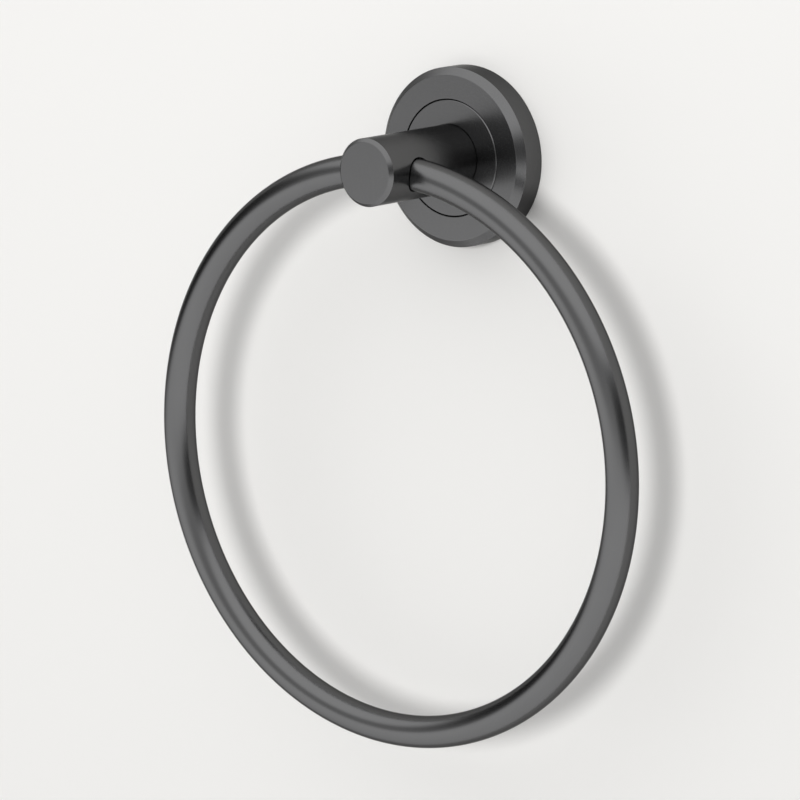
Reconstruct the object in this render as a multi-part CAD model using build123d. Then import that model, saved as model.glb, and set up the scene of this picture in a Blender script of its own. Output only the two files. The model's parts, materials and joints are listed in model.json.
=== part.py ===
from build123d import *
import math
import os

# A towel ring on a wall. Millimetres, +Z up.
# The origin is on the wall at the post's axis, the wall is the plane Y = 0 and the part stands out towards -Y.

# Ring and where it hangs
ring_radius = 87.0  # to the middle of the bar
bar_diameter = 10.0
ring_standoff = 37.5  # wall to the ring's plane
ring_drop = 0.7  # post's axis down to the top of the bar's middle line
bore_clearance = 0.12  # between the curved bar and its bore
bore_land = 3.4  # length of the close-fitting stretch at each end of the bore

# Post
post_diameter = 20.9
nose_length = 13.7  # ring's plane to the post's nose
nose_bevel = 1.1
post_seat_depth = 0.5
post_seat_gap = 0.15

# Wall plate
plate_thickness = 4.5
plate_clearance = 0.15  # between the plate's rim and the hub around it
wall_screw_spacing = 17.0
wall_screw_hole = 4.5
wall_screw_countersink = 8.6
rim_groove_depth = 1.2

# Hub that the post stands on
hub_diameter = 36.1
hub_skirt_wall = 3.0
hub_front_wall = 4.2
hub_bevel = 0.3
plate_front_gap = 1.2  # free height in front of the wall plate

# Escutcheon round the hub
escutcheon_diameter = 55.7
escutcheon_bevel = 2.25
escutcheon_front_wall = 3.2
escutcheon_rim_wall = 3.0
escutcheon_sleeve_wall = 2.6
seam_gap = 0.2

# Seal that holds the escutcheon on the hub
seal_section = 1.4
seal_clearance = 0.02
seal_side_room = 0.2

# Countersunk screw from the hub into the post
post_screw_diameter = 6.0
post_screw_head = 11.5
post_screw_length = 12.0
post_screw_key = 4.0  # across the flats of its hexagon socket
post_screw_socket = 2.0
post_screw_end_room = 1.0
thread_clearance = 0.05

# Grub screw from below the hub into the wall plate's rim groove
grub_diameter = 3.0
grub_key = 1.5
grub_socket = 1.5
grub_tip_gap = 0.2
grub_recess = 0.2  # below the hub's surface

# Sizes that follow
bar_radius = bar_diameter / 2
post_radius = post_diameter / 2
hub_radius = hub_diameter / 2
escutcheon_radius = escutcheon_diameter / 2
cavity_depth = plate_thickness + plate_front_gap
front = cavity_depth + hub_front_wall  # the flush front of hub and escutcheon
post_foot = front - post_seat_depth
nose = ring_standoff + nose_length
land_start = post_radius - bore_land
fall_at_land = ring_radius - math.sqrt(ring_radius**2 - land_start**2)  # from the top of the bar's middle line
fall_at_mouth = ring_radius - math.sqrt(ring_radius**2 - post_radius**2)
bore_fall = (fall_at_land + fall_at_mouth) / 2
bore_drop = ring_drop + bore_fall  # post's axis down to the bore's axis, on which the ring swings
bore_radius = bar_radius + (fall_at_mouth - fall_at_land) / 2 + bore_clearance
relief_radius = bar_radius + bore_fall + bore_clearance
hub_inner_radius = hub_radius - hub_skirt_wall
plate_radius = hub_inner_radius - plate_clearance
rim_groove_radius = plate_radius - rim_groove_depth
rim_groove_place = plate_thickness / 2
opening_radius = hub_radius + seam_gap
seal_groove_radius = opening_radius - seal_section - 2 * seal_clearance
seal_groove_width = seal_section + 2 * seal_side_room
seal_place = cavity_depth + hub_front_wall / 2
overshoot = 1.0  # how far a cutting tool runs past the face it opens


def turned(profile):
    """Solid turned about the post's axis, from corners given as (radius, distance from the wall)."""
    outline = Polyline(*[(radius, -out) for radius, out in profile], close=True)
    return revolve(make_face(outline), Axis.Y)


def disc(radius, low, high):
    """Plain disc on the post's axis between two distances from the wall."""
    return turned([(0, low), (radius, low), (radius, high), (0, high)])


def hexagon_bar(across_flats, low, high):
    """Hexagon bar on the post's axis between two distances from the wall."""
    section = RegularPolygon(across_flats / math.sqrt(3), 6)
    bar = extrude(section, high - low)
    return Rot(90, 0, 0) * Pos(0, 0, low) * bar


def pointing_down(solid):
    """Turn a solid so that its distance from the wall becomes its distance below the post's axis."""
    return Pos(0, -rim_groove_place, 0) * Rot(90, 0, 0) * solid


def make_wall_plate():
    """Disc against the wall with two countersunk screw holes and a V groove round its rim."""
    plate = turned([
        (0, 0),
        (plate_radius, 0),
        (plate_radius, rim_groove_place - rim_groove_depth),
        (rim_groove_radius, rim_groove_place),
        (plate_radius, rim_groove_place + rim_groove_depth),
        (plate_radius, plate_thickness),
        (0, plate_thickness),
    ])
    hole_radius = wall_screw_hole / 2
    sink_radius = wall_screw_countersink / 2
    sink_start = plate_thickness - (sink_radius - hole_radius)
    hole = turned([
        (0, -overshoot),
        (hole_radius, -overshoot),
        (hole_radius, sink_start),
        (sink_radius + overshoot, plate_thickness + overshoot),
        (0, plate_thickness + overshoot),
    ])
    for side in (-1, 1):
        plate -= Pos(side * wall_screw_spacing / 2, 0, 0) * hole
    return plate


def make_base_hub():
    """Cup over the wall plate: post seat in front, screw hole in the middle, seal groove round it."""
    hub = turned([
        (hub_inner_radius, 0),
        (hub_radius, 0),
        (hub_radius, front - hub_bevel),
        (hub_radius - hub_bevel, front),
        (0, front),
        (0, cavity_depth),
        (hub_inner_radius, cavity_depth),
    ])
    hub -= disc(post_radius + post_seat_gap, post_foot, front + overshoot)
    hub -= turned([
        (seal_groove_radius, seal_place - seal_groove_width / 2),
        (hub_radius + overshoot, seal_place - seal_groove_width / 2),
        (hub_radius + overshoot, seal_place + seal_groove_width / 2),
        (seal_groove_radius, seal_place + seal_groove_width / 2),
    ])
    head_radius = post_screw_head / 2 + thread_clearance
    shank_radius = post_screw_diameter / 2 + thread_clearance
    hub -= turned([
        (0, cavity_depth - overshoot),
        (head_radius, cavity_depth - overshoot),
        (head_radius, cavity_depth),
        (shank_radius, cavity_depth + head_radius - shank_radius),
        (shank_radius, front),
        (0, front),
    ])
    grub_hole = disc(grub_diameter / 2 + thread_clearance, hub_inner_radius - overshoot, hub_radius + overshoot)
    hub -= pointing_down(grub_hole)
    return hub


def make_escutcheon():
    """Turned cover ring with a bevelled front edge, hollowed behind between its rim and its sleeve."""
    cover = turned([
        (opening_radius, 0),
        (escutcheon_radius, 0),
        (escutcheon_radius, front - escutcheon_bevel),
        (escutcheon_radius - escutcheon_bevel, front),
        (opening_radius, front),
    ])
    hollow_outer = escutcheon_radius - escutcheon_rim_wall
    hollow_inner = opening_radius + escutcheon_sleeve_wall
    hollow_depth = front - escutcheon_front_wall
    cover -= turned([
        (hollow_inner, -overshoot),
        (hollow_outer, -overshoot),
        (hollow_outer, hollow_depth),
        (hollow_inner, hollow_depth),
    ])
    return cover


def make_o_ring():
    """Rubber ring that fills the room between the hub's groove and the escutcheon's sleeve."""
    middle_radius = opening_radius - seal_clearance - seal_section / 2
    return Pos(0, -seal_place, 0) * Rot(90, 0, 0) * Torus(middle_radius, seal_section / 2)


def make_post():
    """Round post with a bevelled nose, a cross bore for the ring and a tapped hole in its foot.

    The bore is wider between its two lands, where the curved bar stands off the bore's axis as it swings.
    """
    post = turned([
        (0, post_foot),
        (post_radius, post_foot),
        (post_radius, nose - nose_bevel),
        (post_radius - nose_bevel, nose),
        (0, nose),
    ])
    bore = Cylinder(bore_radius, post_diameter + 2 * overshoot) + Cylinder(relief_radius, 2 * land_start)
    post -= Pos(0, -ring_standoff, -bore_drop) * Rot(0, 90, 0) * bore
    tapped_end = cavity_depth + post_screw_length + post_screw_end_room
    post -= disc(post_screw_diameter / 2 + thread_clearance, post_foot - overshoot, tapped_end)
    return post


def make_post_screw():
    """Countersunk hexagon socket screw, its head level with the inside of the hub."""
    head_radius = post_screw_head / 2
    shank_radius = post_screw_diameter / 2
    screw = turned([
        (0, cavity_depth),
        (head_radius, cavity_depth),
        (shank_radius, cavity_depth + head_radius - shank_radius),
        (shank_radius, cavity_depth + post_screw_length),
        (0, cavity_depth + post_screw_length),
    ])
    return screw - hexagon_bar(post_screw_key, cavity_depth - overshoot, cavity_depth + post_screw_socket)


def make_grub_screw():
    """Hexagon socket grub screw with a cone point in the wall plate's rim groove."""
    tip = rim_groove_radius + grub_tip_gap
    end = hub_radius - grub_recess
    screw = turned([
        (0, tip),
        (grub_diameter / 2, tip + grub_diameter / 2),
        (grub_diameter / 2, end),
        (0, end),
    ])
    screw -= hexagon_bar(grub_key, end - grub_socket, end + overshoot)
    return pointing_down(screw)


def make_ring():
    """Closed round bar that hangs through the post's cross bore, its plane parallel to the wall."""
    ring = Rot(90, 0, 0) * Torus(ring_radius, bar_radius)
    return Pos(0, -ring_standoff, -ring_drop - ring_radius) * ring


parts = {
    "wall_plate": make_wall_plate(),
    "base_hub": make_base_hub(),
    "escutcheon": make_escutcheon(),
    "o_ring": make_o_ring(),
    "post": make_post(),
    "post_screw": make_post_screw(),
    "grub_screw": make_grub_screw(),
    "ring": make_ring(),
}

os.makedirs("parts", exist_ok=True)
for name, solid in parts.items():
    export_step(solid, f"parts/{name}.step")
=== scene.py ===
"""Looks of a satin gunmetal towel ring.

A turned bracket, the ring that swings in it, the pale wall behind them and a soft studio round them.
"""
import json
import logging
import math
from dataclasses import dataclass, field, replace
from enum import Enum
from functools import cached_property
from typing import ClassVar

import bmesh
import bpy
import numpy as np
from mathutils import Matrix, Vector


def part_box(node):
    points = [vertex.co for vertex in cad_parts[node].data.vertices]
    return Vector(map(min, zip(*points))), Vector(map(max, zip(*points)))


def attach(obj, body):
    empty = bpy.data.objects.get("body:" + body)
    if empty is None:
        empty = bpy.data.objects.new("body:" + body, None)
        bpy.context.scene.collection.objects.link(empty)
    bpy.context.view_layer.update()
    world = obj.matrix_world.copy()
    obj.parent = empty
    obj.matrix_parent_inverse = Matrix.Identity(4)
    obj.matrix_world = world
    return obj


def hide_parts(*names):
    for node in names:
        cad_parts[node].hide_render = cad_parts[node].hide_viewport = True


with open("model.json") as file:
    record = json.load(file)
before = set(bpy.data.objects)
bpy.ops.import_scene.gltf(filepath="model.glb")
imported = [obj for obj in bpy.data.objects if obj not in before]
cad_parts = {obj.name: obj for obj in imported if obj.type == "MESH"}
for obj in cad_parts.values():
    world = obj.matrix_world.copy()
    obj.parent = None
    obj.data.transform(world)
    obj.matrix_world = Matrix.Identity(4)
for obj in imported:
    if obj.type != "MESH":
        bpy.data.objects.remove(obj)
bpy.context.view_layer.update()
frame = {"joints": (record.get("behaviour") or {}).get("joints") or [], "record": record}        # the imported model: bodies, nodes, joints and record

log = logging.getLogger("towel_ring")

MM = 0.001
FULL_TURN = 2 * math.pi
WELD_DISTANCE = 1e-7
STRAIGHT = 0.999999  # cosine past which two edges count as one line
EASE_SHARE = 0.45  # most of an edge that the ease at one of its ends may take
ROW_SLACK = 0.01  # share of a row's width within which a point counts as on that row
WAVE_PHASE = 20.0  # radians that the wave texture runs through for each unit of its coordinates

Colour = tuple[float, float, float]
Socket = bpy.types.NodeSocket
Level = float | Socket


class Body(Enum):
    """The bodies that pieces ride on."""

    BRACKET = "bracket"
    RING = "ring"


class Slot(Enum):
    """The record's material slots."""

    GUNMETAL = "satin_gunmetal"
    PLATE = "plate_steel"
    SCREW = "screw_steel"
    SEAL = "seal_rubber"


@dataclass(frozen=True)
class Corner:
    """Corner of a turned profile."""

    radius: float  # distance from the turning axis
    out: float  # distance along that axis, from the wall if it is the post's
    ease: float = 0.0  # radius of the small round that takes its edge off, 0 for a plain point


@dataclass
class Sheet:
    """Grid of points that becomes quads, closed round its columns."""

    points: np.ndarray  # of shape (rows, columns, 3)
    closed_rows: bool = False  # whether the last row joins the first
    open_at: np.ndarray | None = None  # mask of shape (rows, columns) of the quads to leave out

    def quads(self) -> np.ndarray:
        """Corner numbers of the sheet's quads.

        Returns:
            Array of shape (quads, 4).
        """
        rows, columns = self.points.shape[:2]
        number = np.arange(rows * columns).reshape(rows, columns)
        below = np.roll(number, -1, axis=0)
        beside = np.roll(number, -1, axis=1)
        across = np.roll(below, -1, axis=1)
        wanted = np.ones((rows, columns), bool) if self.open_at is None else ~self.open_at
        if not self.closed_rows:
            wanted[-1] = False
        return np.stack([number, beside, across, below], axis=-1)[wanted]


def linked(name: str, data: bpy.types.ID) -> bpy.types.Object:
    """New object for a mesh, lamp or camera, linked to the scene."""
    made = bpy.data.objects.new(name, data)
    bpy.context.scene.collection.objects.link(made)
    return made


def mesh_object(name: str, sheets: list[Sheet]) -> bpy.types.Object:
    """Weld sheets into one smooth mesh, whose faces point outwards where it is closed.

    Args:
        name: the piece's name.
        sheets: grids that meet along shared points.

    Returns:
        The new object, at the origin and linked to the scene.
    """
    points = np.concatenate([sheet.points.reshape(-1, 3) for sheet in sheets])
    starts = np.cumsum([0] + [sheet.points[..., 0].size for sheet in sheets])
    quads = np.concatenate([sheet.quads() + start for sheet, start in zip(sheets, starts)])
    used, quads = np.unique(quads, return_inverse=True)
    mesh = bpy.data.meshes.new(name)
    mesh.from_pydata(points[used].tolist(), [], quads.reshape(-1, 4).tolist())
    work = bmesh.new()
    work.from_mesh(mesh)
    bmesh.ops.remove_doubles(work, verts=work.verts, dist=WELD_DISTANCE)
    bmesh.ops.recalc_face_normals(work, faces=work.faces)
    work.to_mesh(mesh)
    work.free()
    mesh.polygons.foreach_set("use_smooth", np.ones(len(mesh.polygons), bool))
    return linked(name, mesh)


def angles(steps: int) -> np.ndarray:
    """Evenly spaced angles of one full turn."""
    return np.arange(steps) * FULL_TURN / steps


def bend(start: np.ndarray, corner: np.ndarray, end: np.ndarray, s: np.ndarray) -> np.ndarray:
    """Points (1-s)^2 A + 2s(1-s) P + s^2 B of the curve from start A to end B that rounds corner P."""
    return (1 - s) ** 2 * start + 2 * s * (1 - s) * corner + s**2 * end


def eased_profile(
    corners: list[Corner], closed: bool, steps: int = 5, hold: float = 0.12 * MM
) -> np.ndarray:
    """Turned profile with its corners eased.

    Each eased corner is a bend that starts and ends on its edges, at the ease's own tangent length.
    One more point on each edge, a little further out, keeps the flat flat.

    Args:
        corners: the profile's corners in order.
        closed: whether the last corner joins the first.
        steps: points along each eased corner.
        hold: how far past the ease the keeping points lie.

    Returns:
        Array of shape (points, 2) of radius and distance along the axis.
    """
    place = np.array([(corner.radius, corner.out) for corner in corners])
    ease = np.array([corner.ease for corner in corners])[:, None]
    if not closed:
        ease[[0, -1]] = 0.0
    back = np.roll(place, 1, axis=0) - place
    ahead = np.roll(place, -1, axis=0) - place
    back_length = np.linalg.norm(back, axis=1, keepdims=True)
    ahead_length = np.linalg.norm(ahead, axis=1, keepdims=True)
    back, ahead = back / back_length, ahead / ahead_length
    cosine = np.clip((back * ahead).sum(axis=1, keepdims=True), -STRAIGHT, STRAIGHT)
    reach = ease / np.tan(np.arccos(cosine) / 2)
    room = EASE_SHARE * np.minimum(back_length, ahead_length)
    reach = np.minimum(reach, room)
    keep = np.where(ease > 0, np.minimum(reach + hold, room), 0.0)
    s = np.linspace(0, 1, steps)[None, :, None]
    start, end = (place + back * reach)[:, None], (place + ahead * reach)[:, None]
    curve = bend(start, place[:, None], end, s)
    first, last = (place + back * keep)[:, None], (place + ahead * keep)[:, None]
    rows = np.concatenate([first, curve, last], axis=1).reshape(-1, 2)
    fresh = np.linalg.norm(rows - np.roll(rows, 1, axis=0), axis=1) > WELD_DISTANCE
    fresh[0] = True
    return rows[fresh]


def turn(profile: np.ndarray, columns: int) -> np.ndarray:
    """Carry a profile round the post's axis.

    A point at radius r and distance d from the wall goes to (r cos a, -d, r sin a) for the turn's angle a.

    Args:
        profile: array of shape (rows, 2) of radius and distance from the wall.
        columns: number of steps round the axis.

    Returns:
        Array of shape (rows, columns, 3).
    """
    angle = angles(columns)
    radius, out = profile[:, :1], profile[:, 1:]
    height = np.broadcast_to(-out, (len(out), columns))
    return np.stack([radius * np.cos(angle), height, radius * np.sin(angle)], axis=-1)


@dataclass
class CrossBore:
    """Round hole square to the post's axis, from one turned wall to another.

    Its surround takes the place of a rectangular window in each wall's grid.
    """

    radius: float
    out: float  # its middle's distance from the wall
    offset: float  # its middle's distance from the post's axis, across the hole
    heading: float  # angle round the post's axis at which it starts
    walls: tuple[float, float]  # radius where it starts, signed radius where it ends
    half_columns: int  # columns of the wall's grid that the surround takes on each side of the hole
    half_width: float  # half the surround's width along the post's axis
    rows: int  # steps of the wall's grid across the surround
    ease: float  # radius of the round at its rims
    relief: list[Corner] = field(default_factory=list)  # wider stretch inside it, by distance along it
    patch_rows: int = 12  # steps from the surround's edge to a rim
    crowding: float = 0.8  # power that draws those steps together towards the rim
    hold: float = 1.5  # how far outside a rim's ease the row that keeps the wall round lies, in eases
    rim_rows: int = 6  # points along an eased rim

    def stations(self, radius: float) -> list[Corner]:
        """Plain profile points that give a wall's grid the rows of the surround.

        Args:
            radius: the wall's radius.

        Returns:
            The points, in the direction of growing distance from the wall.
        """
        outs = np.linspace(self.out - self.half_width, self.out + self.half_width, self.rows + 1)
        return [Corner(radius, float(out)) for out in outs]

    def cut(self, profile: np.ndarray, columns: int) -> np.ndarray:
        """Mask of the turned wall's quads that the surround takes the place of.

        Args:
            profile: the turned piece's profile.
            columns: steps round its axis.

        Returns:
            Array of shape (rows, columns), True where a quad is left out.
        """
        slack = ROW_SLACK * self.half_width / self.rows
        inside = np.abs(profile[:, 1] - self.out) < self.half_width + slack
        mask = np.zeros((len(profile), columns), bool)
        for wall in self.walls:
            row = inside & (np.abs(profile[:, 0] - abs(wall)) < slack)
            turned = self.heading if wall > 0 else self.heading + math.pi
            first = round(turned / FULL_TURN * columns) - self.half_columns
            column = np.zeros(columns, bool)
            column[np.arange(first, first + 2 * self.half_columns) % columns] = True
            mask |= (row & np.roll(row, -1))[:, None] & column
        return mask

    def sheet(self, columns: int) -> Sheet:
        """Surround, rim, bore wall, rim and surround as one sheet.

        On a wall of radius w a point at angle a from the bore's heading is w cos a along the bore and
        w sin a across it. The surround blends straight, in angle and distance from the wall, from the
        window's edge to the rim, where w sin a and that distance follow a circle. The rim's edge is a
        bend. The bore's wall runs straight from rim to rim, or to the relief, whose section is turned on
        the bore's axis.

        Args:
            columns: steps of the wall's grid round the post's axis.

        Returns:
            The sheet, closed round the bore.
        """
        half_angle = self.half_columns * FULL_TURN / columns
        steps = 2 * self.half_columns
        across = np.linspace(-1, 1, steps, endpoint=False)
        along = np.linspace(-1, 1, self.rows, endpoint=False)
        angle = half_angle * np.concatenate([across, np.ones(self.rows), -across, -np.ones(self.rows)])
        out = self.half_width * np.concatenate([-np.ones(steps), along, np.ones(steps), -along])
        first, last = (self._half(wall, angle, out) for wall in self.walls)
        section = eased_profile(self.relief, closed=False) if self.relief else np.empty((0, 2))
        centre = np.array([0.0, -self.out, self.offset])
        spokes = (first[-1] - centre) * np.array([0.0, 1.0, 1.0]) / self.radius
        middle = centre + section[:, :1, None] * spokes + section[:, 1:, None] * np.array([1.0, 0.0, 0.0])
        rows = np.concatenate([first, middle, last[::-1]])
        along_bore, along_post, across_bore = np.moveaxis(rows, -1, 0)
        cosine, sine = math.cos(self.heading), math.sin(self.heading)
        x = along_bore * cosine - across_bore * sine
        z = along_bore * sine + across_bore * cosine
        return Sheet(np.stack([x, along_post, z], axis=-1))

    def _half(self, wall: float, angle: np.ndarray, out: np.ndarray) -> np.ndarray:
        """Rows from the window's edge on one wall to just inside the bore.

        Args:
            wall: signed radius of the wall, negative on the far side of the axis.
            angle: angle from the heading at each point of the window's edge.
            out: distance from the bore's middle along the post's axis at each point of the window's edge.

        Returns:
            Array of shape (rows, edge points, 3): along the bore, along the post, across the bore.
        """
        size, side = abs(wall), math.copysign(1.0, wall)
        turn_angle = np.arctan2(size * np.sin(angle) - self.offset, out)
        rim_angle = np.arcsin((self.offset + self.radius * np.sin(turn_angle)) / size)
        rim_out = self.radius * np.cos(turn_angle)
        gap = np.hypot(size * (angle - rim_angle), out - rim_out)
        into = -1.0 if wall == self.walls[0] else 1.0
        share = np.linspace(0, 1, self.patch_rows)[:, None] ** self.crowding
        held = 1 - (1 + np.array([[self.hold], [0.0]])) * self.ease / gap
        share = np.concatenate([share[:-1] * held[0], held])
        blend_angle = (1 - share) * angle + share * rim_angle
        blend_out = (1 - share) * out + share * rim_out
        patch = self._on_wall(size, side, blend_angle, blend_out)
        corner = self._on_wall(size, side, rim_angle, rim_out)
        step = np.array([into * self.ease, 0.0, 0.0])
        inner = corner + step
        s = np.linspace(0, 1, self.rim_rows)[1:, None, None]
        rim = bend(patch[-1], corner, inner, s)
        return np.concatenate([patch, rim, (inner + step)[None]])

    def _on_wall(self, size: float, side: float, angle: np.ndarray, out: np.ndarray) -> np.ndarray:
        """Points on a turned wall, by angle off the heading and distance from the bore's middle."""
        return np.stack([side * size * np.cos(angle), -self.out - out, size * np.sin(angle)], axis=-1)


class Nodes:
    """Shader nodes of one material or world, linked as they are added."""

    def __init__(self, owner: bpy.types.Material | bpy.types.World) -> None:
        """Turn the owner's nodes on and keep them at hand.

        Args:
            owner: the material or world that the nodes belong to.
        """
        owner.use_nodes = True
        self.tree = owner.node_tree

    def add(self, kind: str, output: str, inputs: dict[str | int, object], **options: str) -> Socket:
        """Add a node.

        Args:
            kind: the node's type.
            output: the name of the output that is wanted.
            inputs: what each socket gets, by its name or number: another node's output or a constant.
            options: the node's own options.

        Returns:
            That output.
        """
        node = self.tree.nodes.new(kind)
        for option, choice in options.items():
            setattr(node, option, choice)
        self.fill(node.name, inputs)
        return node.outputs[output]

    def fill(self, name: str, inputs: dict[str | int, object]) -> None:
        """Link a node's sockets to other nodes' outputs, or set their constants.

        Args:
            name: the node's name.
            inputs: what each socket gets, by its name or number.
        """
        sockets = self.tree.nodes[name].inputs
        for socket, value in inputs.items():
            if isinstance(value, Socket):
                self.tree.links.new(value, sockets[socket])
            else:
                sockets[socket].default_value = value

    def place(self) -> Socket:
        """Object coordinates, in metres in the part's own frame."""
        return self.add("ShaderNodeTexCoord", "Object", {})

    def noise(self, place: Socket, size: float, detail: float) -> Socket:
        """Noise between 0 and 1.

        Args:
            place: the coordinates that it reads.
            size: size of its features in metres.
            detail: finer layers in it.

        Returns:
            The noise's value.
        """
        inputs = {"Vector": place, "Scale": 1 / size, "Detail": detail}
        return self.add("ShaderNodeTexNoise", "Fac", inputs)

    def math(self, operation: str, *values: Level) -> Socket:
        """Result of one arithmetic step on values or sockets."""
        return self.add("ShaderNodeMath", "Value", dict(enumerate(values)), operation=operation)

    def ramp(self, value: Socket, low: float, high: float, start: Level, end: Level) -> Socket:
        """Smooth step from start to end as a value goes from low to high.

        Args:
            value: the value that the step follows.
            low: where it leaves the start.
            high: where it reaches the end.
            start: level below low.
            end: level above high.

        Returns:
            The level.
        """
        inputs = {"Value": value, "From Min": low, "From Max": high, "To Min": start, "To Max": end}
        return self.add("ShaderNodeMapRange", "Result", inputs, interpolation_type="SMOOTHSTEP")


@dataclass(frozen=True)
class Grain:
    """Fine relief of a finish, in metres."""

    pitch: float  # size of the grain
    depth: float  # height of the grain
    patch: float  # size of the slow change of tone across the surface
    detail: float = 2.0  # finer layers in the grain
    patch_detail: float = 3.0  # finer layers in the change of tone


@dataclass(frozen=True)
class Finish:
    """Metal or rubber finish with grain, slow changes of tone and uneven gloss."""

    name: str
    dark: Colour  # of the darker patches
    light: Colour  # of the lighter patches
    metallic: float  # 1 for metal, 0 for rubber
    edge_tint: float  # how much of the usual brightening at a glancing angle is left
    roughness: tuple[float, float]  # lowest and highest
    grain: Grain

    def material(self) -> bpy.types.Material:
        """Build the finish as a node material on Object coordinates.

        Returns:
            The new material.
        """
        material = bpy.data.materials.new(self.name)
        nodes = Nodes(material)
        place = nodes.place()
        grain = nodes.noise(place, self.grain.pitch, self.grain.detail)
        patches = nodes.noise(place, self.grain.patch, self.grain.patch_detail)
        colours = {"Factor": patches, "A": (*self.dark, 1.0), "B": (*self.light, 1.0)}
        gloss = {"Value": grain, "To Min": self.roughness[0], "To Max": self.roughness[1]}
        height = self._relief(nodes, place, grain)
        relief = {"Height": height, "Distance": self.grain.depth, "Strength": 1.0}
        nodes.fill("Principled BSDF", {
            "Metallic": self.metallic,
            "Specular Tint": (self.edge_tint, self.edge_tint, self.edge_tint, 1.0),
            "Base Color": nodes.add("ShaderNodeMix", "Result", colours, data_type="RGBA"),
            "Roughness": nodes.add("ShaderNodeMapRange", "Result", gloss),
            "Normal": nodes.add("ShaderNodeBump", "Normal", relief),
        })
        return material

    def _relief(self, nodes: Nodes, place: Socket, grain: Socket) -> Socket:
        """Height of the relief: the grain itself."""
        return grain


@dataclass(frozen=True)
class TurnedFinish(Finish):
    """Finish that shows the lathe's fine rings round the post's axis."""

    ring_pitch: float = 0.3 * MM
    waver: float = 1.5  # how far the rings stray
    waver_detail: float = 2.0  # finer layers in that straying

    def _relief(self, nodes: Nodes, place: Socket, grain: Socket) -> Socket:
        """Height of the relief: the lathe's rings with the grain over them.

        Args:
            nodes: the material's nodes.
            place: the coordinates that the rings read.
            grain: the grain's height.

        Returns:
            The sum of both heights.
        """
        scale = FULL_TURN / WAVE_PHASE / self.ring_pitch
        waver = {"Distortion": self.waver, "Detail": self.waver_detail}
        inputs = {"Vector": place, "Scale": scale, **waver}
        rings = nodes.add("ShaderNodeTexWave", "Fac", inputs, wave_type="RINGS", rings_direction="Y")
        return nodes.math("ADD", rings, grain)


SATIN_GUNMETAL = Finish(
    name="satin_gunmetal",
    dark=(0.101, 0.101, 0.102),
    light=(0.108, 0.108, 0.109),
    metallic=1.0,
    edge_tint=0.42,
    roughness=(0.22, 0.30),
    grain=Grain(pitch=0.12 * MM, depth=0.0006 * MM, patch=14 * MM),
)
MACHINED_STEEL = TurnedFinish(
    name="machined_steel",
    dark=(0.46, 0.46, 0.455),
    light=(0.56, 0.56, 0.555),
    metallic=1.0,
    edge_tint=1.0,
    roughness=(0.28, 0.40),
    grain=Grain(pitch=0.2 * MM, depth=0.004 * MM, patch=6 * MM),
)
BLACK_OXIDE = Finish(
    name="black_oxide",
    dark=(0.045, 0.045, 0.05),
    light=(0.075, 0.075, 0.08),
    metallic=1.0,
    edge_tint=0.5,
    roughness=(0.35, 0.5),
    grain=Grain(pitch=0.1 * MM, depth=0.002 * MM, patch=3 * MM),
)
MATT_RUBBER = Finish(
    name="matt_rubber",
    dark=(0.018, 0.018, 0.018),
    light=(0.03, 0.03, 0.03),
    metallic=0.0,
    edge_tint=1.0,
    roughness=(0.55, 0.75),
    grain=Grain(pitch=0.15 * MM, depth=0.004 * MM, patch=4 * MM),
)


class Piece:
    """One piece of the towel ring, which stands for a CAD node."""

    label: ClassVar[str]  # the piece's name
    node: ClassVar[str]  # the CAD node that it stands for
    body: ClassVar[Body] = Body.BRACKET
    slot: ClassVar[Slot] = Slot.GUNMETAL

    @cached_property
    def radius(self) -> float:
        """Half the width of the piece's node."""
        low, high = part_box(self.node)
        return (high.x - low.x) / 2

    @cached_property
    def back(self) -> float:
        """Distance from the wall to the back of the piece's node."""
        return -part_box(self.node)[1].y

    @cached_property
    def front(self) -> float:
        """Distance from the wall to the front of the piece's node."""
        return -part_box(self.node)[0].y

    def sheets(self) -> list[Sheet]:
        """Work out the piece's surface, as grids that meet along shared points."""
        raise NotImplementedError

    def build(self, finish: bpy.types.Material) -> None:
        """Make the piece's mesh, dress it and set it in the frame.

        Args:
            finish: the piece's material.
        """
        piece = mesh_object(self.label, self.sheets())
        piece.data.materials.append(finish)
        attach(piece, self.body.value)
        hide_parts(self.node)
        log.info("%s: %d faces, stands for %s", self.label, len(piece.data.polygons), self.node)


@dataclass
class RoundBar(Piece):
    """Closed round bar, its axis square to the wall."""

    steps_round: int  # points along the bar
    steps_across: int  # points round it

    @property
    def centre(self) -> Vector:
        """The middle that the bar runs round."""
        low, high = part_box(self.node)
        return (low + high) / 2

    @property
    def bar_radius(self) -> float:
        """Radius of the bar itself."""
        return (self.front - self.back) / 2

    @property
    def line_radius(self) -> float:
        """Radius of the bar's middle line."""
        return self.radius - self.bar_radius

    def sheets(self) -> list[Sheet]:
        """The bar's surface.

        At angle a along the bar and b round it, a point lies R + r cos b from the middle in its plane, in
        direction a, and r sin b out of that plane.

        Returns:
            The one sheet, closed both ways.
        """
        a = angles(self.steps_round)[:, None]
        b = angles(self.steps_across)[None, :]
        reach = self.line_radius + self.bar_radius * np.cos(b)
        rise = np.broadcast_to(self.bar_radius * np.sin(b), (self.steps_round, self.steps_across))
        points = np.stack([reach * np.cos(a), rise, reach * np.sin(a)], axis=-1)
        return [Sheet(np.array(self.centre) + points, closed_rows=True)]


@dataclass
class Ring(RoundBar):
    """The ring that hangs in the post."""

    label = "ring_bar"
    node = "ring"
    body = Body.RING

    steps_round: int = 640
    steps_across: int = 96


@dataclass
class Seal(RoundBar):
    """The rubber ring between the hub's groove and the escutcheon's sleeve."""

    label = "seal_ring"
    node = "o_ring"
    slot = Slot.SEAL

    steps_round: int = 256
    steps_across: int = 24


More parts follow.
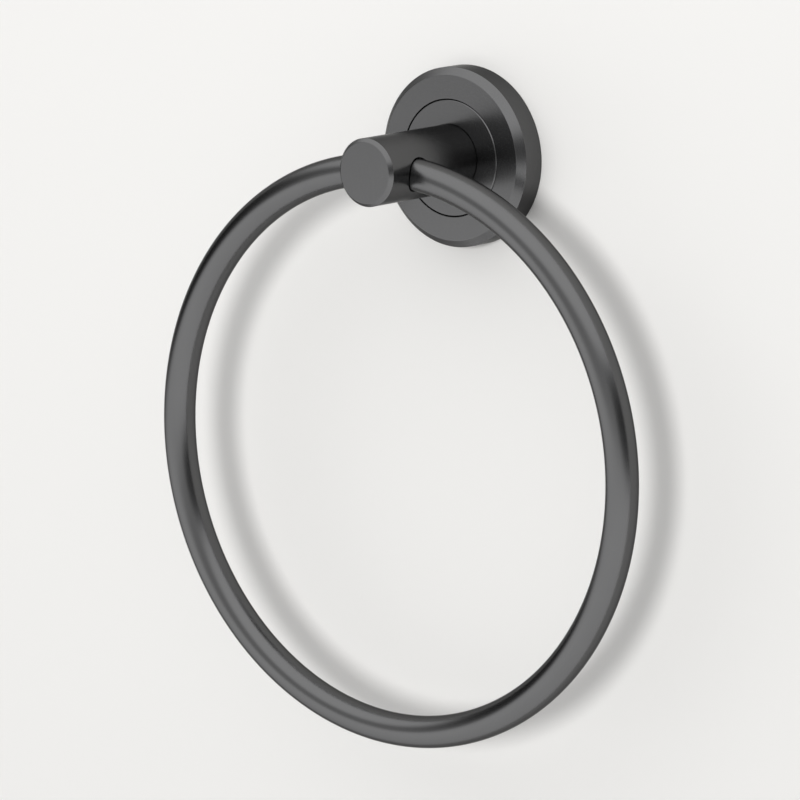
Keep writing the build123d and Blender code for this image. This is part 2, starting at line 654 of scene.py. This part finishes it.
@dataclass
class Post(Piece):
    """The post with its bevelled nose, the ring's cross bore and the tapped hole in its foot."""

    label = "post_bar"
    node = "post"

    ring: Ring
    nose_bevel: float = 1.1 * MM
    bore_clearance: float = 0.12 * MM
    bore_land: float = 3.4 * MM  # close-fitting stretch at each mouth
    bore_half_width: float = 8.0 * MM  # of the bore's surround, along the post
    bore_half_columns: int = 36
    bore_rows: int = 64
    relief_lead: float = 0.4 * MM
    tapped_radius: float = 3.05 * MM
    tapped_end: float = 18.7 * MM  # from the wall
    ease: float = 0.1 * MM
    rim_ease: float = 0.06 * MM
    columns: int = 288

    def bar_fall(self, distance: float) -> float:
        """Fall of the bar's middle line from its top, at a distance to the side."""
        return self.ring.line_radius - math.sqrt(self.ring.line_radius**2 - distance**2)

    def bore(self) -> CrossBore:
        """The ring's bore: close lands at both mouths, and a relief for the curved bar between them.

        Returns:
            The bore, centred on the ring's swing axis.
        """
        swing = Vector(frame["joints"][0]["pos_m"])
        land = self.radius - self.bore_land
        at_land, at_mouth = self.bar_fall(land), self.bar_fall(self.radius)
        fit = self.ring.bar_radius + self.bore_clearance
        radius = fit + (at_mouth - at_land) / 2
        wide = fit + (at_mouth + at_land) / 2
        relief = [
            Corner(radius, land + self.relief_lead),
            Corner(radius, land, self.rim_ease),
            Corner(wide, land, self.rim_ease),
        ]
        return CrossBore(
            radius=radius,
            out=-swing.y,
            offset=swing.z,
            heading=0.0,
            walls=(self.radius, -self.radius),
            half_columns=self.bore_half_columns,
            half_width=self.bore_half_width,
            rows=self.bore_rows,
            ease=self.rim_ease,
            relief=relief + [replace(corner, out=-corner.out) for corner in reversed(relief)],
        )

    def sheets(self) -> list[Sheet]:
        """The post's surface: a turned profile with the bore's surround let into it.

        Returns:
            The turned wall and the bore.
        """
        bore = self.bore()
        corners = [
            Corner(0.0, self.tapped_end),
            Corner(self.tapped_radius, self.tapped_end, self.ease),
            Corner(self.tapped_radius, self.back, self.ease),
            Corner(self.radius, self.back, self.ease),
            *bore.stations(self.radius),
            Corner(self.radius, self.front - self.nose_bevel, self.ease),
            Corner(self.radius - self.nose_bevel, self.front, self.ease),
            Corner(0.0, self.front),
        ]
        profile = eased_profile(corners, closed=False)
        wall = Sheet(turn(profile, self.columns), open_at=bore.cut(profile, self.columns))
        return [wall, bore.sheet(self.columns)]


@dataclass
class Escutcheon(Piece):
    """The cover ring on the wall: bevelled in front, hollow behind."""

    label = "escutcheon_cover"
    node = "escutcheon"

    bevel: float = 2.25 * MM
    opening_radius: float = 18.25 * MM
    front_wall: float = 3.2 * MM
    rim_wall: float = 3.0 * MM
    sleeve_wall: float = 2.6 * MM
    ease: float = 0.12 * MM
    columns: int = 384

    def sheets(self) -> list[Sheet]:
        """The cover's surface: its section turned round the post's axis.

        Returns:
            The one turned sheet.
        """
        hollow_depth = self.front - self.front_wall
        section = [
            (self.opening_radius, 0.0),
            (self.opening_radius + self.sleeve_wall, 0.0),
            (self.opening_radius + self.sleeve_wall, hollow_depth),
            (self.radius - self.rim_wall, hollow_depth),
            (self.radius - self.rim_wall, 0.0),
            (self.radius, 0.0),
            (self.radius, self.front - self.bevel),
            (self.radius - self.bevel, self.front),
            (self.opening_radius, self.front),
        ]
        profile = eased_profile([Corner(radius, out, self.ease) for radius, out in section], closed=True)
        return [Sheet(turn(profile, self.columns), closed_rows=True)]


@dataclass
class BaseHub(Piece):
    """The hub that the post stands on, in the escutcheon's opening."""

    label = "hub_disc"
    node = "base_hub"

    post: Post
    bevel: float = 0.3 * MM
    skirt_wall: float = 3.0 * MM
    cavity_depth: float = 5.7 * MM
    seat_gap: float = 0.15 * MM
    groove_radius: float = 16.81 * MM  # of the seal's groove, at its floor
    groove_width: float = 1.8 * MM
    groove_middle: float = 7.8 * MM  # from the wall
    screw_radius: float = 3.05 * MM
    screw_head_radius: float = 5.8 * MM
    grub_radius: float = 1.55 * MM
    grub_out: float = 2.25 * MM  # from the wall
    grub_half_width: float = 1.9 * MM  # of the hole's surround, along the hub
    grub_half_columns: int = 10
    grub_rows: int = 12
    ease: float = 0.05 * MM
    columns: int = 320

    def grub_hole(self) -> CrossBore:
        """The grub screw's hole, straight down through the skirt.

        Returns:
            The hole.
        """
        return CrossBore(
            radius=self.grub_radius,
            out=self.grub_out,
            offset=0.0,
            heading=-math.pi / 2,
            walls=(self.radius, self.radius - self.skirt_wall),
            half_columns=self.grub_half_columns,
            half_width=self.grub_half_width,
            rows=self.grub_rows,
            ease=self.ease,
        )

    def sheets(self) -> list[Sheet]:
        """The hub's surface: a turned section with the grub screw's hole through its skirt.

        Returns:
            The turned wall and the hole.
        """
        inner = self.radius - self.skirt_wall
        seat = self.post.radius + self.seat_gap
        foot = self.post.back
        groove_low = self.groove_middle - self.groove_width / 2
        groove_high = self.groove_middle + self.groove_width / 2
        sink_end = self.cavity_depth + self.screw_head_radius - self.screw_radius
        hole = self.grub_hole()
        ease = self.ease
        corners = [
            Corner(inner, 0.0, ease),
            Corner(self.radius, 0.0, ease),
            *hole.stations(self.radius),
            Corner(self.radius, groove_low, ease),
            Corner(self.groove_radius, groove_low, ease),
            Corner(self.groove_radius, groove_high, ease),
            Corner(self.radius, groove_high, ease),
            Corner(self.radius, self.front - self.bevel, ease),
            Corner(self.radius - self.bevel, self.front, ease),
            Corner(seat, self.front, ease),
            Corner(seat, foot, ease),
            Corner(self.screw_radius, foot, ease),
            Corner(self.screw_radius, sink_end, ease),
            Corner(self.screw_head_radius, self.cavity_depth, ease),
            Corner(inner, self.cavity_depth, ease),
            *reversed(hole.stations(inner)),
        ]
        profile = eased_profile(corners, closed=True)
        opened = hole.cut(profile, self.columns)
        wall = Sheet(turn(profile, self.columns), closed_rows=True, open_at=opened)
        return [wall, hole.sheet(self.columns)]


@dataclass
class WallPlate(Piece):
    """The disc that is screwed to the wall, with two countersunk holes and a V groove round its rim."""

    label = "plate_disc"
    node = "wall_plate"
    slot = Slot.PLATE

    hole_radius: float = 2.25 * MM
    sink_radius: float = 4.3 * MM
    groove_depth: float = 1.2 * MM
    ease: float = 0.1 * MM
    border: float = 0.5 * MM  # strip of each face that goes with the edge beside it
    arc_steps: int = 96
    chord_steps: int = 48
    face_rows: int = 6

    @property
    def spacing(self) -> float:
        """Distance between the two holes, from the record's wall mount."""
        return frame["record"]["mounts"][0]["dims"]["spacing_x_mm"] * MM

    def sheets(self) -> list[Sheet]:
        """The plate's surface: a turned rim and, for each half, both faces with the hole through them.

        Returns:
            The rim, the right half and the left half.
        """
        face_edge = self.radius - self.border
        middle = self.front / 2
        rim = eased_profile([
            Corner(face_edge, 0.0),
            Corner(self.radius, 0.0, self.ease),
            Corner(self.radius, middle - self.groove_depth, self.ease),
            Corner(self.radius - self.groove_depth, middle, self.ease),
            Corner(self.radius, middle + self.groove_depth, self.ease),
            Corner(self.radius, self.front, self.ease),
            Corner(face_edge, self.front),
        ], closed=False)
        right = self._half(face_edge)
        left = right * np.array([-1.0, 1.0, 1.0])
        return [Sheet(turn(rim, 2 * self.arc_steps)), Sheet(right), Sheet(left)]

    def _half(self, face_edge: float) -> np.ndarray:
        """Both faces of the right half, joined through its hole.

        Each face blends straight from the half's outline, a half circle and its chord, to a circle round
        the hole, at the same angle from the hole's middle. The hole's section is turned on its axis.

        Args:
            face_edge: radius of the faces' outline.

        Returns:
            Array of shape (rows, outline points, 3).
        """
        arc = math.pi * (np.arange(self.arc_steps) / self.arc_steps - 0.5)
        chord = np.linspace(1, -1, self.chord_steps, endpoint=False)
        x = face_edge * np.concatenate([np.cos(arc), np.zeros(self.chord_steps)])
        z = face_edge * np.concatenate([np.sin(arc), chord])
        hole_x = self.spacing / 2
        angle = np.arctan2(z, x - hole_x)
        section = eased_profile([
            Corner(self.sink_radius + self.border, self.front),
            Corner(self.sink_radius, self.front, self.ease),
            Corner(self.hole_radius, self.front + self.hole_radius - self.sink_radius, self.ease),
            Corner(self.hole_radius, 0.0, self.ease),
            Corner(self.sink_radius, 0.0),
        ], closed=False)
        circle_x = hole_x + section[:, :1] * np.cos(angle)
        circle_z = section[:, :1] * np.sin(angle)
        out = np.broadcast_to(section[:, 1:], circle_x.shape)
        hole = np.stack([circle_x, -out, circle_z], axis=-1)
        front_edge = np.stack([x, np.full_like(x, -self.front), z], axis=-1)
        back_edge = np.stack([x, np.zeros_like(x), z], axis=-1)
        share = np.linspace(0, 1, self.face_rows, endpoint=False)[:, None, None]
        front = (1 - share) * front_edge + share * hole[0]
        back = (1 - share) * back_edge + share * hole[-1]
        return np.concatenate([front, hole, back[::-1]])


@dataclass
class SocketScrew(Piece):
    """Threaded screw with a hexagon socket, its sizes measured along its own axis."""

    slot = Slot.SCREW

    key: float  # the hexagon across its flats
    socket_depth: float
    pitch: float  # of the thread
    thread_depth: float
    thread_fade: float = 0.5  # share of a pitch over which the thread fades at each end
    ease: float = 0.08 * MM
    socket_reach: float = 3.0  # how far past its edge the hexagon still shapes the face, in eases
    rows_in_pitch: int = 16
    columns: int = 96

    def section(self) -> tuple[list[Corner], list[Corner]]:
        """Corners from the socket's floor to where the thread starts, and from its end to the tip."""
        raise NotImplementedError

    def socket(self, face: float, inwards: int) -> list[Corner]:
        """Corners of the socket from its floor to the face, inwards being 1 or -1 along the axis."""
        floor, half = face + inwards * self.socket_depth, self.key / 2
        return [Corner(0.0, floor), Corner(half, floor, self.ease), Corner(half, face, self.ease)]

    def in_frame(self, across: np.ndarray, along: np.ndarray, up: np.ndarray) -> np.ndarray:
        """Points of the screw's own axis, put on the post's axis unless a screw differs."""
        return np.stack([across, -along, up], axis=-1)

    def sheets(self) -> list[Sheet]:
        """The screw's surface: its section turned, with the socket's hexagon and the thread's groove.

        Round the socket the radius is the half key over cos(a mod 60 - 30 degrees). Off the outside of
        the shank goes a cosine wave as deep as the thread, which moves on by a pitch a turn and fades at
        its ends.

        Returns:
            The one sheet.
        """
        head, tip = self.section()
        first, last = head[-1], tip[0]
        length = abs(last.out - first.out)
        rows = max(2, round(length / self.pitch * self.rows_in_pitch))
        outs = np.linspace(first.out, last.out, rows, endpoint=False)[1:]
        shank = [Corner(first.radius, float(out)) for out in outs]
        profile = eased_profile([*head, *shank, *tip], closed=False, hold=self.ease)
        radius, along = profile[:, :1], profile[:, 1:]
        angle = angles(self.columns)[None, :]
        flat = FULL_TURN / 6  # what one side of the hexagon takes of the turn
        hexagon = 1 / np.cos(np.mod(angle, flat) - flat / 2)
        outside = (np.arange(len(profile)) >= np.argmax(radius))[:, None]
        in_socket = ~outside & (radius < self.key / 2 + self.socket_reach * self.ease)
        inwards = length / 2 - np.abs(along - (first.out + last.out) / 2)
        depth = outside * self.thread_depth * np.clip(inwards / (self.thread_fade * self.pitch), 0, 1)
        groove = 0.5 + 0.5 * np.cos(FULL_TURN * along / self.pitch - angle)
        size = radius * np.where(in_socket, hexagon, 1.0) - depth * groove
        along = np.broadcast_to(along, size.shape)
        return [Sheet(self.in_frame(size * np.cos(angle), along, size * np.sin(angle)))]


@dataclass
class PostScrew(SocketScrew):
    """Countersunk screw from the hub into the post."""

    label = "countersunk_screw"
    node = "post_screw"

    key: float = 4.0 * MM
    socket_depth: float = 2.0 * MM
    pitch: float = 1.0 * MM
    thread_depth: float = 0.6 * MM
    shank_radius: float = 3.0 * MM
    tip_bevel: float = 0.6 * MM

    def section(self) -> tuple[list[Corner], list[Corner]]:
        """Socket, countersunk head and shank, then the bevelled tip.

        Returns:
            The corners before and after the thread.
        """
        face, end = self.back, self.front
        head = [
            *self.socket(face, 1),
            Corner(self.radius, face, self.ease),
            Corner(self.shank_radius, face + self.radius - self.shank_radius, self.ease),
        ]
        tip = [
            Corner(self.shank_radius, end - self.tip_bevel, self.ease),
            Corner(self.shank_radius - self.tip_bevel, end, self.ease),
            Corner(0.0, end),
        ]
        return head, tip


@dataclass
class GrubScrew(SocketScrew):
    """Headless screw from below the hub into the wall plate's rim groove, with a cone point."""

    label = "cone_point_screw"
    node = "grub_screw"

    key: float = 1.5 * MM
    socket_depth: float = 1.5 * MM
    pitch: float = 0.5 * MM
    thread_depth: float = 0.3 * MM
    ease: float = 0.04 * MM
    rim_bevel: float = 0.2 * MM

    def section(self) -> tuple[list[Corner], list[Corner]]:
        """Socket and bevelled rim, then the cone point, by distance down from the post's axis.

        Returns:
            The corners before and after the thread.
        """
        low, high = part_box(self.node)
        face, point = -low.z, -high.z
        head = [
            *self.socket(face, -1),
            Corner(self.radius - self.rim_bevel, face, self.ease),
            Corner(self.radius, face - self.rim_bevel, self.ease),
        ]
        tip = [Corner(self.radius, point + self.radius, self.ease), Corner(0.0, point)]
        return head, tip

    def in_frame(self, across: np.ndarray, along: np.ndarray, up: np.ndarray) -> np.ndarray:
        """Points of an axis that runs straight down, at the screw's own distance from the wall."""
        return np.stack([across, up - (self.back + self.front) / 2, -along], axis=-1)


@dataclass
class Bracket:
    """What stays on the wall: plate, hub, escutcheon, seal, post and screws."""

    ring: Ring  # the one that the post's bore is made for

    def build(self, gunmetal: bpy.types.Material) -> None:
        """Make and dress the bracket's pieces, from the wall outwards.

        Args:
            gunmetal: the finish that the bracket shares with the ring.
        """
        post = Post(self.ring)
        oxide = BLACK_OXIDE.material()
        WallPlate().build(MACHINED_STEEL.material())
        GrubScrew().build(oxide)
        BaseHub(post).build(gunmetal)
        Seal().build(MATT_RUBBER.material())
        Escutcheon().build(gunmetal)
        PostScrew().build(oxide)
        post.build(gunmetal)


def towards(azimuth: float, elevation: float) -> Vector:
    """Unit vector to an azimuth right of straight out from the wall and an elevation, in degrees."""
    a, e = math.radians(azimuth), math.radians(elevation)
    return Vector((math.sin(a) * math.cos(e), -math.cos(a) * math.cos(e), math.sin(e)))


@dataclass
class Wall:
    """The pale wall, with a round opening hidden behind the escutcheon, clear from behind."""

    part_radius: float  # of the escutcheon, which hides the opening
    colour: Colour = (0.868, 0.860, 0.842)
    roughness: float = 0.8
    radius: float = 3.0
    gap: float = 0.05 * MM  # behind the part's back
    lip: float = 0.3 * MM  # how far it reaches in behind the escutcheon
    columns: int = 192

    def build(self) -> None:
        """Make the wall: circles that grow from the opening outwards, in one plane."""
        opening = self.part_radius - self.lip
        radius = np.array([opening, 2 * opening, self.radius])
        points = turn(np.stack([radius, np.full_like(radius, -self.gap)], axis=1), self.columns)
        wall = mesh_object("wall", [Sheet(points)])
        if wall.data.polygons[0].normal.y > 0:
            wall.data.flip_normals()
        wall.data.materials.append(self._material())

    def _material(self) -> bpy.types.Material:
        """Matt paint in front, clear from behind.

        Returns:
            The new material.
        """
        material = bpy.data.materials.new("pale_wall")
        nodes = Nodes(material)
        nodes.fill("Principled BSDF", {"Base Color": (*self.colour, 1.0), "Roughness": self.roughness})
        paint = nodes.tree.nodes["Principled BSDF"].outputs["BSDF"]
        clear = nodes.add("ShaderNodeBsdfTransparent", "BSDF", {})
        behind = nodes.add("ShaderNodeNewGeometry", "Backfacing", {})
        both = nodes.add("ShaderNodeMixShader", "Shader", {0: behind, 1: paint, 2: clear})
        nodes.fill("Material Output", {"Surface": both})
        return material


@dataclass(frozen=True)
class SideCard:
    """Dark card at one side of the tent's dim middle.

    Directions are given by the parts of a unit vector: how far to the side, and how high.
    """

    side: int  # -1 on the left, 1 on the right
    near: float  # how far to the side it starts to darken
    far: float  # how far to the side it is fully dark
    bottom: float  # height of its lower edge at the far place
    top: float  # height of its upper edge there
    level: float  # brightness of its dark part
    flare: float = 0.4  # how fast its edges spread outwards
    blur: float = 0.09  # half the width over which its upper and lower edges fade

    def over(self, nodes: Nodes, side: Socket, height: Socket, level: Socket) -> Socket:
        """Lay the card over what is behind it.

        Args:
            nodes: the tent's nodes.
            side: how far to the right a direction points.
            height: how high it points.
            level: brightness behind the card.

        Returns:
            The brightness with the card.
        """
        dark = nodes.ramp(side, self.side * self.near, self.side * self.far, level, self.level)
        past = nodes.math("MULTIPLY_ADD", side, float(self.side), -self.far)
        upper = nodes.math("MULTIPLY_ADD", past, -self.flare, height)
        lower = nodes.math("MULTIPLY_ADD", past, self.flare, height)
        capped = nodes.ramp(upper, self.top - self.blur, self.top + self.blur, dark, level)
        return nodes.ramp(lower, self.bottom - self.blur, self.bottom + self.blur, level, capped)


@dataclass(frozen=True)
class Band:
    """Part of the tent, above another that it blends into."""

    low: float  # height where it starts to show
    high: float  # height from which it shows alone
    level: float  # its brightness


@dataclass
class LightTent:
    """Half-round tent in front of the wall, which lights the part and which the metal mirrors.

    Its brightness depends on the direction from the ring's middle: bright above and below, dimmer between,
    dark at the far sides. Heights are those of a unit vector in that direction.
    """

    radius: float = 1.6
    spread: float = 91.3  # angle from straight ahead to its edge, in degrees
    nadir: float = 1.50  # brightness straight below
    bands: tuple[Band, ...] = (
        Band(low=-1.0, high=-0.1, level=1.73),
        Band(low=-0.15, high=0.01, level=0.813),
        Band(low=0.29, high=0.51, level=1.84),
    )
    cards: tuple[SideCard, ...] = (
        SideCard(side=-1, near=0.62, far=0.87, bottom=-0.063, top=0.49, level=0.044),
        SideCard(side=1, near=0.45, far=0.87, bottom=-0.078, top=0.428, level=0.11),
    )
    diffuse_share: tuple[float, float] = (0.093, 0.675)  # lowest and highest that reaches matt surfaces
    diffuse_from: tuple[float, float, float] = (-0.5, -0.3, 0.81)  # where the highest share comes from
    room: float = 0.8  # brightness of the room outside
    rows: int = 32
    columns: int = 96

    def build(self, centre: Vector) -> None:
        """Make the tent, a quarter circle turned round the axis straight ahead, and the room outside it.

        Args:
            centre: the tent's middle.
        """
        angle = np.radians(np.linspace(0, self.spread, self.rows))
        profile = self.radius * np.stack([np.sin(angle), np.cos(angle)], axis=1)
        tent = mesh_object("light_tent", [Sheet(turn(profile, self.columns) + np.array(centre))])
        tent.data.materials.append(self._material(centre))
        tent.visible_camera = False
        tent.visible_shadow = False  # lets the key lamp in
        world = bpy.data.worlds.new("room")
        world.cycles.sampling_method = "NONE"  # keeps the room's light out
        Nodes(world).fill("Background", {"Color": (1.0, 1.0, 1.0, 1.0), "Strength": self.room})
        bpy.context.scene.world = world

    def _material(self, centre: Vector) -> bpy.types.Material:
        """Light by direction from the tent's middle.

        Args:
            centre: the tent's middle.

        Returns:
            The new material.
        """
        material = bpy.data.materials.new("tent_light")
        material.cycles.emission_sampling = "NONE"
        nodes = Nodes(material)
        from_middle = {0: nodes.place(), 1: centre}
        arm = nodes.add("ShaderNodeVectorMath", "Vector", from_middle, operation="SUBTRACT")
        unit = nodes.add("ShaderNodeVectorMath", "Vector", {0: arm}, operation="NORMALIZE")
        side = nodes.add("ShaderNodeSeparateXYZ", "X", {"Vector": unit})
        height = side.node.outputs["Z"]
        level = self.nadir
        for band in self.bands:
            level = nodes.ramp(height, band.low, band.high, level, band.level)
        for card in self.cards:
            level = card.over(nodes, side, height, level)
        matt = nodes.add("ShaderNodeLightPath", "Is Diffuse Ray", {})
        facing = {0: unit, 1: self.diffuse_from}
        along = nodes.add("ShaderNodeVectorMath", "Value", facing, operation="DOT_PRODUCT")
        share = nodes.ramp(matt, 0.0, 1.0, 1.0, nodes.ramp(along, -1.0, 1.0, *self.diffuse_share))
        strength = nodes.math("MULTIPLY", level, share)
        glow = nodes.add("ShaderNodeEmission", "Emission", {"Strength": strength})
        nodes.fill("Material Output", {"Surface": glow})
        return material


@dataclass
class KeyLamp:
    """Round soft lamp outside the tent, which gives the ring's shadow on the wall."""

    power: float = 70.0  # watts
    size: float = 0.80
    distance: float = 4.0  # from the ring's middle
    azimuth: float = 18.9  # degrees to the right of straight ahead
    elevation: float = 9.7  # degrees up

    def build(self, target: Vector) -> None:
        """Hang the lamp.

        Args:
            target: the point that it is aimed at.
        """
        data = bpy.data.lights.new("key_lamp", "AREA")
        data.shape = "DISK"
        data.size = self.size
        data.energy = self.power
        lamp = linked("key_lamp", data)
        back = towards(self.azimuth, self.elevation)
        lamp.location = target + self.distance * back
        lamp.rotation_euler = back.to_track_quat("Z", "Y").to_euler()
        lamp.visible_glossy = False


@dataclass
class Camera:
    """Camera at the photograph's viewing angle, placed so that the ring's middle lands on its pixel."""

    azimuth: float = 39.0  # degrees to the right of straight ahead
    elevation: float = 10.79  # degrees up
    distance: float = 1.5516  # from the ring's middle
    ring_centre_pixel: tuple[float, float] = (393.35, 452.23)  # across and down
    pixels_per_metre: float = 3270.8  # at the ring's middle
    image_size: float = 800.0  # pixels each way
    sensor: float = 36.0  # millimetres

    def build(self, ring_centre: Vector) -> None:
        """Set the camera up.

        Args:
            ring_centre: the ring's middle.
        """
        back = towards(self.azimuth, self.elevation)
        right = Vector((0, 0, 1)).cross(back).normalized()
        up = back.cross(right)
        data = bpy.data.cameras.new("camera")
        data.sensor_width = self.sensor
        data.lens = self.pixels_per_metre * self.distance / self.image_size * self.sensor
        across, down = (
            (pixel - self.image_size / 2) / self.pixels_per_metre for pixel in self.ring_centre_pixel
        )
        place = ring_centre + back * self.distance - right * across + up * down
        turned = Matrix((right, up, back)).transposed().to_4x4()
        camera = linked("camera", data)
        camera.matrix_world = Matrix.Translation(place) @ turned
        bpy.context.scene.camera = camera


def main() -> None:
    """Build the pieces in order, then the wall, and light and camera."""
    logging.basicConfig(level=logging.INFO, format="%(name)s: %(message)s")
    gunmetal = SATIN_GUNMETAL.material()
    ring = Ring()
    Bracket(ring).build(gunmetal)
    ring.build(gunmetal)
    Wall(part_radius=Escutcheon().radius).build()
    LightTent().build(ring.centre)
    KeyLamp().build(ring.centre)
    Camera().build(ring.centre)
    bpy.context.scene.view_settings.view_transform = "Standard"


if __name__ == "__main__":
    main()
